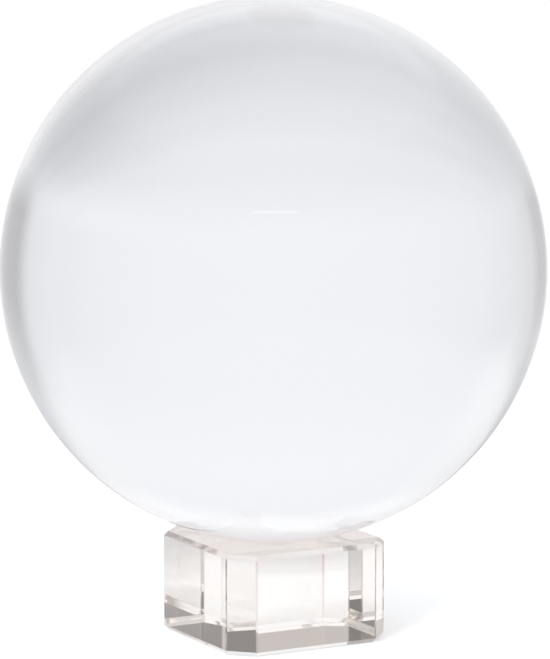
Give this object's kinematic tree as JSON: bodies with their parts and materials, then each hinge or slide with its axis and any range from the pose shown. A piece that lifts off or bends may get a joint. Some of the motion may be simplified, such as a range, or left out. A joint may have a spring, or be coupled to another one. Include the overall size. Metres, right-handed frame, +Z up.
{
  "type": "crystal ball",
  "caption": "Clear solid glass ball resting loose in the round seat of a low glass display block with cut corners and polished bevels.",
  "frame": {"origin": "centre of the block's flat underside, which is also the centre of the bottom of the whole object's box", "axes": "+Z up through the centres of the block, its seat and the ball; the block's flat side faces look along X and Y"},
  "size_m": [0.15, 0.15, 0.1769],
  "materials": {
    "stand_crystal": "polished clear crystal with a faint warm tint, ground and polished flat faces and bevels",
    "ball_crystal": "polished clear optical crystal with a faint cool tint, seamless"
  },
  "bodies": {
    "stand": {"stand_block": "stand_crystal"},
    "ball": {"crystal_ball": "ball_crystal"}
  },
  "joints": [
    {"name": "ball_lift", "type": "slide", "parent": "stand", "child": "ball", "axis": [0, 0, 1], "range_m": [0, 0.04]}
  ]
}
